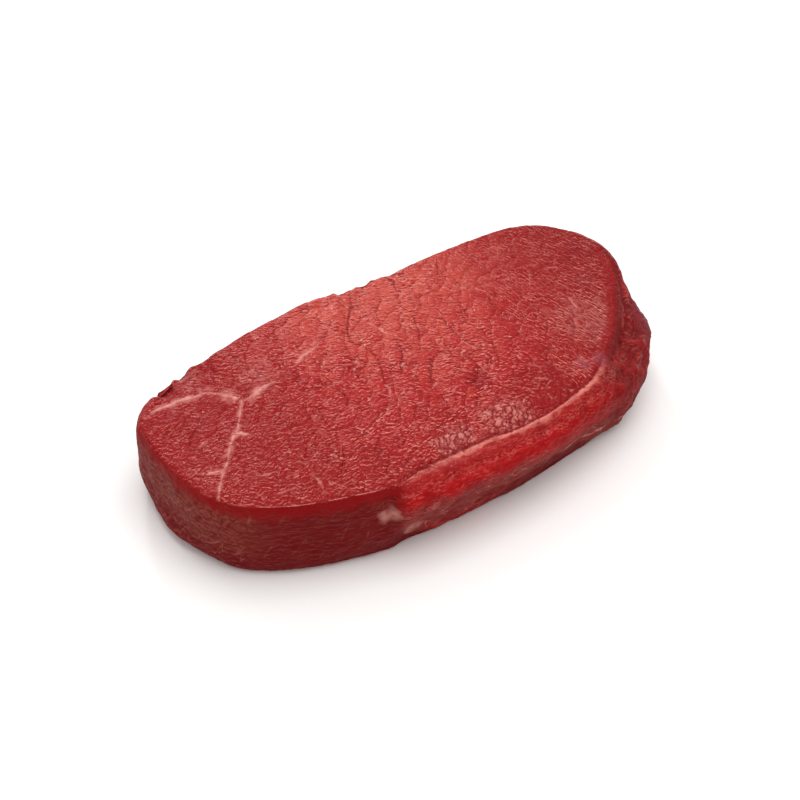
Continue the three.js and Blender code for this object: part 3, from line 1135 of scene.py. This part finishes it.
    def wall_height(self, place: Field) -> Field:
        """Relief of the wall: layers along it, over soft lumps.

        Args:
            place: Places in mm.

        Returns:
            The height in metres.
        """
        layers = self.grain.layers(place).noise(2.6, 3) - 0.5
        lumps = place.noise(11) - 0.5
        take = place.sketch.take
        return layers * take("Wall Layer") + lumps * take("Wall Lump")

    def made_plain(self, rough: bpy.types.Object) -> bpy.types.Object:
        """Turns the evaluated slab into a plain mesh and clears what made it.

        Args:
            rough: The object that carries the modifiers.

        Returns:
            A new object that holds the plain mesh.
        """
        graph = bpy.context.evaluated_depsgraph_get()
        made = rough.evaluated_get(graph)
        mesh = bpy.data.meshes.new_from_object(made, preserve_all_data_layers=True, depsgraph=graph)
        mesh.name = "roast_meat"
        piece = bpy.data.objects.new("roast_meat", mesh)
        bpy.context.scene.collection.objects.link(piece)
        for helper in (rough, *self.helpers):
            bpy.data.objects.remove(helper, do_unlink=True)
        return piece

    def dress(self) -> None:
        """Says what the piece rides on and what it replaces."""
        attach(self.piece, CAD_BODY)
        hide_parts(CAD_NODE)


@dataclass(frozen=True)
class SoftLight:
    """A square studio light that points at the meat. Sizes in metres, angles in degrees."""

    name: str
    azimuth: float
    elevation: float
    distance: float
    side: float
    watts: float


@dataclass
class Studio:
    """Pale floor, soft lights and the camera. Sizes in metres, angles in degrees."""

    target: Triple = (0.0050, 0.0225, 0.0)
    azimuth: float = -31.0
    elevation: float = 44.0
    distance: float = 0.9
    lens: float = 85.0
    nearest_view: float = 0.01
    floor_side: float = 6.0
    floor_roughness: float = 0.8
    floor_specular: float = 0.1
    sky: float = 0.74
    lights: tuple[SoftLight, ...] = (
        SoftLight("overhead", azimuth=75, elevation=80, distance=2, side=1.6, watts=22.4),
        SoftLight("back", azimuth=184, elevation=48, distance=1.5, side=0.8, watts=2.7),
        SoftLight("glint", azimuth=166, elevation=32, distance=1.3, side=0.15, watts=2.7),
    )

    def build(self) -> None:
        """Makes the floor, the lights, the camera and the picture's tone."""
        self.floor()
        for light in self.lights:
            self.light(light)
        self.camera()
        scene = bpy.context.scene
        world = bpy.data.worlds.new("sky")
        world.use_nodes = True
        background = world.node_tree.nodes["Background"]
        background.inputs["Color"].default_value = Tint.SKY.linear
        background.inputs["Strength"].default_value = self.sky
        scene.world = world
        scene.view_settings.view_transform = "Standard"
        scene.view_settings.look = "None"

    def aimed(self, thing: bpy.types.Object, azimuth: float, elevation: float, distance: float) -> None:
        """Places a lamp or camera so that it faces the target.

        Args:
            thing: The lamp's or camera's object.
            azimuth: Turn about the target, from the front.
            elevation: Angle above the floor.
            distance: How far from the target it stands.
        """
        a, e = math.radians(azimuth), math.radians(elevation)
        towards = Vector((math.sin(a) * math.cos(e), -math.cos(a) * math.cos(e), math.sin(e)))
        thing.location = Vector(self.target) + towards * distance
        thing.rotation_euler = towards.to_track_quat("Z", "Y").to_euler()
        bpy.context.scene.collection.objects.link(thing)

    def floor(self) -> None:
        """Makes the plain floor that the meat lies on."""
        half = self.floor_side / 2
        mesh = bpy.data.meshes.new("floor")
        corners = [(-half, -half, 0), (half, -half, 0), (half, half, 0), (-half, half, 0)]
        mesh.from_pydata(corners, [], [(0, 1, 2, 3)])
        material = bpy.data.materials.new("pale_floor")
        material.use_nodes = True
        shader = material.node_tree.nodes["Principled BSDF"]
        shader.inputs["Base Color"].default_value = Tint.FLOOR.linear
        shader.inputs["Roughness"].default_value = self.floor_roughness
        shader.inputs["Specular IOR Level"].default_value = self.floor_specular
        mesh.materials.append(material)
        floor = bpy.data.objects.new("floor", mesh)
        bpy.context.scene.collection.objects.link(floor)

    def light(self, light: SoftLight) -> None:
        """Adds one square area light that faces the target.

        Args:
            light: The light's sizes, place and strength.
        """
        data = bpy.data.lights.new(light.name, "AREA")
        data.energy = light.watts
        data.size = light.side
        lamp = bpy.data.objects.new(light.name, data)
        self.aimed(lamp, light.azimuth, light.elevation, light.distance)

    def camera(self) -> None:
        """Adds the camera at the photograph's viewing angle."""
        data = bpy.data.cameras.new("camera")
        data.lens = self.lens
        data.clip_start = self.nearest_view
        camera = bpy.data.objects.new("camera", data)
        self.aimed(camera, self.azimuth, self.elevation, self.distance)
        bpy.context.scene.camera = camera


def main() -> None:
    """Builds the studio and the roast, and logs how many faces the roast has."""
    logging.basicConfig(level=logging.INFO, format="%(name)s: %(message)s")
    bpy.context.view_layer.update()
    Studio().build()
    LOG.info("studio ready")
    roast = Roast()
    piece = roast.build(RawBeef(roast.grain, roast.band).material())
    roast.dress()
    LOG.info("%s: %d faces", piece.name, len(piece.data.polygons))
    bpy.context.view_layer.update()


if __name__ == "__main__":
    main()
